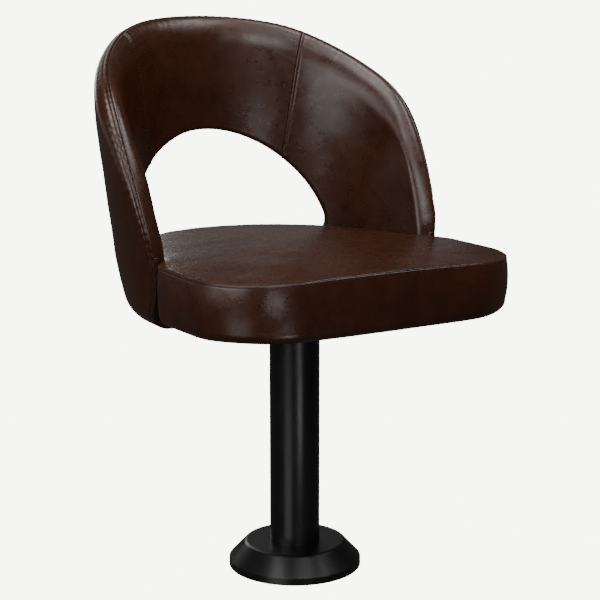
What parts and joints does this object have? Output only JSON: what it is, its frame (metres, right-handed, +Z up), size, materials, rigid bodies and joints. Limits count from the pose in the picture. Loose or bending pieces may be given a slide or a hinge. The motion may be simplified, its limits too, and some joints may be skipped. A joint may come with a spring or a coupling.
{
  "type": "pedestal swivel armchair",
  "caption": "Upholstered bucket armchair with a round cut-out in its wrap-around back, swivelling on a floor-bolted steel column with a conical trim cover.",
  "frame": {"origin": "on the column's axis at floor level, the centre of the floor bolt circle", "axes": "+Z up along the column, the sitter faces -Y, the back is towards +Y, +X to the right of someone looking along +Y"},
  "size_m": [0.541, 0.5691, 0.833],
  "materials": {
    "leather": "semi-gloss pigmented leather over thin wadding",
    "powder_coat": "satin black powder coat",
    "turned_steel": "turned, lightly greased",
    "spring_steel": "blued spring steel",
    "zinc_plate": "zinc plated",
    "bush_polymer": "plain, self-lubricating",
    "plywood": "sanded birch plywood",
    "shell_ply": "moulded beech plywood, stained black",
    "bottom_cloth": "black non-woven dust cloth",
    "foam": "moulded polyurethane foam"
  },
  "bodies": {
    "base": {"floor_flange": "powder_coat", "base_cover": "powder_coat", "column_tube": "powder_coat", "bearing_housing": "turned_steel", "upper_bush": "bush_polymer", "lower_bush": "bush_polymer", "thrust_washer": "bush_polymer"},
    "seat": {"swivel_spindle": "turned_steel", "retaining_ring": "spring_steel", "swivel_hub": "powder_coat", "mounting_plate": "powder_coat", "plate_washers": "zinc_plate", "plate_bolts": "zinc_plate", "tee_nuts": "zinc_plate", "seat_board": "plywood", "seat_bottom_cloth": "bottom_cloth", "seat_foam": "foam", "seat_border": "leather", "seat_top_cover": "leather", "back_shell": "shell_ply", "back_outer_cover": "leather", "back_inner_left": "leather", "back_inner_centre": "leather", "back_inner_right": "leather"}
  },
  "joints": [
    {"name": "seat_swivel", "type": "hinge", "parent": "base", "child": "seat", "pos_m": [0, 0, 0.37], "axis": [0, 0, 1], "continuous": true}
  ]
}
